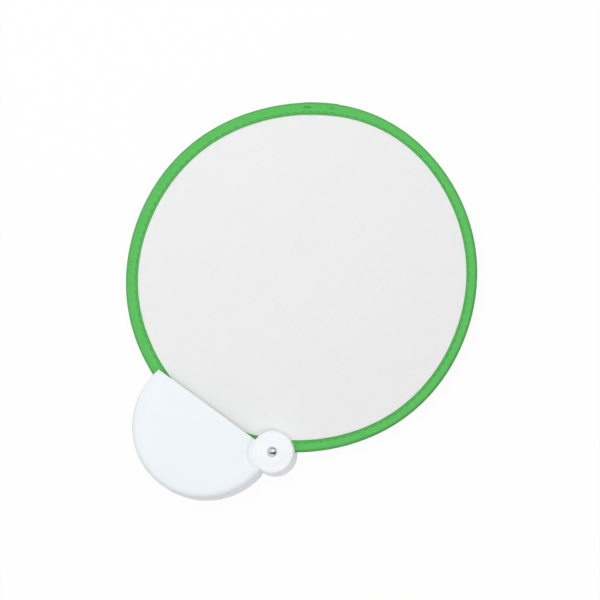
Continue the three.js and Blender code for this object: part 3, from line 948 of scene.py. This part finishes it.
case_plastic = moulded_plastic("case_plastic", CASE_WHITE, roughness=0.36)
hub_plastic = moulded_plastic("hub_plastic", HUB_WHITE, roughness=0.32)
cloth_finish = white_cloth()
tape_finish = green_tape()
thread_finish = green_thread()
steel_finish = bright_metal("spring_steel", STEEL, roughness=0.34, grain=12)
rivet_finish = bright_metal("rivet_metal", PLATED, roughness=0.14, grain=3)


# Pieces

for side, half in ((1, "front"), (-1, "back")):
    studs = [stud_surface(side, angle) for angle in STUD_ANGLES]
    shell = joined(shell_surface(side), ear_surface(side), *studs)
    make_piece(f"{half}_shell", shell, case_plastic, "case", [f"case_{half}_shell"])
    make_piece(f"{half}_cap", cap_surface(side), hub_plastic, "fan", [f"hub_{half}_cap"])
    make_piece(f"{half}_jaw", jaw_surface(side), hub_plastic, "fan", [f"clamp_{half}_jaw"])

make_piece("domed_rivet", rivet_surface(), rivet_finish, "fan", ["pivot_rivet"])
make_piece("tail_washer", washer_surface(), rivet_finish, "fan", ["rivet_washer"])

make_piece("spring_strip", strip_surface(), steel_finish, "fan", ["spring_hoop"])
make_piece("strip_sleeve", sleeve_surface(), steel_finish, "fan", ["hoop_sleeve"])
cloth = make_piece("cloth_disc", cloth_surface(), cloth_finish, "fan", ["fan_cloth"])
tape, tape_map = binding_surface()
binding = make_piece(
    "folded_tape", tape, tape_finish, "fan", ["rim_binding"], uv=tape_map, sharp=60,
)
stitching = make_piece("tape_stitching", stitch_surface(), thread_finish, "fan", sharp=80)


# Studio

def in_picture(across, up, out):
    """Unit direction from its parts to the picture's right, to its top and up from the floor."""
    return (across * picture_right + up * picture_up + out * straight_up).normalized()


def rays(tree):
    """The outputs that tell a ray's kind, and a share that is 1 for rays from the camera, off gloss or
    through glass and 0 for the rest."""
    kinds = add_node(tree, "ShaderNodeLightPath").outputs
    mirrored = maths(tree, "ADD", kinds["Is Glossy Ray"], kinds["Is Transmission Ray"])
    looking = maths(tree, "ADD", kinds["Is Camera Ray"], mirrored)
    return kinds, maths(tree, "MINIMUM", looking, 1.0)


def studio_floor():
    """A pale floor under the case. To the camera, and in reflections, most of it is plain white and the
    rest keeps the object's soft shadow."""
    mesh = bpy.data.meshes.new("studio_floor")
    ends = [(-1, -1), (1, -1), (1, 1), (-1, 1)]
    points = [(FLOOR_REACH * x, FLOOR_REACH * y, -FLOOR_DROP) for x, y in ends]
    mesh.from_pydata(points, [], [(0, 1, 2, 3)])
    floor = bpy.data.objects.new("studio_floor", mesh)
    bpy.context.scene.collection.objects.link(floor)
    paint = bpy.data.materials.new("studio_floor")
    paint.use_nodes = True
    tree = paint.node_tree
    tree.nodes.clear()
    _, looking = rays(tree)
    share = maths(tree, "MULTIPLY", looking, FLOOR_WHITE)
    plain = add_node(tree, "ShaderNodeBsdfDiffuse", (*FLOOR_COLOUR, 1)).outputs[0]
    white = add_node(tree, "ShaderNodeEmission", (1, 1, 1, 1), 1.0).outputs[0]
    mixed = add_node(tree, "ShaderNodeMixShader", share, plain, white).outputs[0]
    add_node(tree, "ShaderNodeOutputMaterial", mixed)
    mesh.materials.append(paint)


def picture_slopes(tree):
    """How far a direction of the sky leans to the picture's right and to its top, for each unit
    upwards."""
    direction = add_node(tree, "ShaderNodeTexCoord").outputs["Generated"]
    across, up, out = [
        add_node(tree, "ShaderNodeVectorMath", direction, axis, operation="DOT_PRODUCT").outputs["Value"]
        for axis in (picture_right, picture_up, straight_up)
    ]
    above = maths(tree, "MAXIMUM", out, LOW_SKY)
    return [maths(tree, "DIVIDE", lean, above) for lean in (across, up)]


def sky_patch(tree, slopes, place, reach, level):
    """A soft oval patch of the sky: its level in the middle, eased to 0 outside its reach to the right
    and up."""
    squares = []
    for slope, middle_slope, half in zip(slopes, place, reach):
        offset = maths(tree, "DIVIDE", maths(tree, "SUBTRACT", slope, middle_slope), half)
        squares.append(maths(tree, "MULTIPLY", offset, offset))
    return eased(tree, maths(tree, "ADD", *squares), *PATCH_EASE, 0.0, level)


def studio_sky():
    """An even sky. The camera sees it white, and so does bright metal, apart from the lamp and the dark
    patches of the room."""
    world = bpy.data.worlds.new("studio_sky")
    bpy.context.scene.world = world
    world.use_nodes = True
    tree = world.node_tree
    tree.nodes.clear()
    kinds, looking = rays(tree)
    level = add_node(tree, "ShaderNodeMapRange", looking, 0.0, 1.0, SKY, 1.0).outputs[0]
    slopes = picture_slopes(tree)
    for patch in SKY_PATCHES:
        level = maths(tree, "MULTIPLY_ADD", kinds["Is Glossy Ray"], sky_patch(tree, slopes, *patch), level)
    strength = maths(tree, "MAXIMUM", level, SKY_LEAST)
    sky = add_node(tree, "ShaderNodeBackground", (1, 1, 1, 1), strength).outputs[0]
    add_node(tree, "ShaderNodeOutputWorld", sky)


def soft_lamp(name, towards, distance, power):
    """A square lamp in a direction from the fan's middle, turned to face it. Reflections show the sky in
    its place."""
    lamp = bpy.data.lights.new(name, "AREA")
    lamp.shape = "SQUARE"
    lamp.size = LAMP_SIZE
    lamp.energy = power
    holder = bpy.data.objects.new(name, lamp)
    away = in_picture(*towards)
    holder.location = Vector(fan_centre) + distance * away
    holder.rotation_mode = "QUATERNION"
    holder.rotation_quaternion = (-away).to_track_quat("-Z", "Y")
    holder.visible_glossy = False
    bpy.context.scene.collection.objects.link(holder)


def photo_camera():
    """The photograph's viewpoint: a long lens, tilted from straight above the fan and aimed a little
    below its middle."""
    lean = math.sin(VIEW_TILT)
    back = Vector((lean * math.cos(VIEW_TOWARDS), lean * math.sin(VIEW_TOWARDS), math.cos(VIEW_TILT)))
    right = (picture_right - back * picture_right.dot(back)).normalized()
    up = back.cross(right)
    middle_of_fan = Vector(fan_centre)
    eye = middle_of_fan + VIEW_DISTANCE * back
    aim = middle_of_fan - AIM_BELOW * up - AIM_LEFT * right
    back = (eye - aim).normalized()
    right = (right - back * right.dot(back)).normalized()
    up = back.cross(right)
    lens = bpy.data.cameras.new("photo_camera")
    lens.sensor_width = VIEW_SENSOR
    lens.lens = VIEW_LENS
    lens.clip_start, lens.clip_end = VIEW_CLIP
    camera = bpy.data.objects.new("photo_camera", lens)
    axes = Matrix((right, up, back)).transposed()
    camera.matrix_world = Matrix.Translation(eye) @ axes.to_4x4()
    bpy.context.scene.collection.objects.link(camera)
    bpy.context.scene.camera = camera


bpy.context.scene.view_settings.view_transform = "Standard"
studio_floor()
studio_sky()
for name, lamp in LAMPS.items():
    soft_lamp(name, *lamp)
photo_camera()
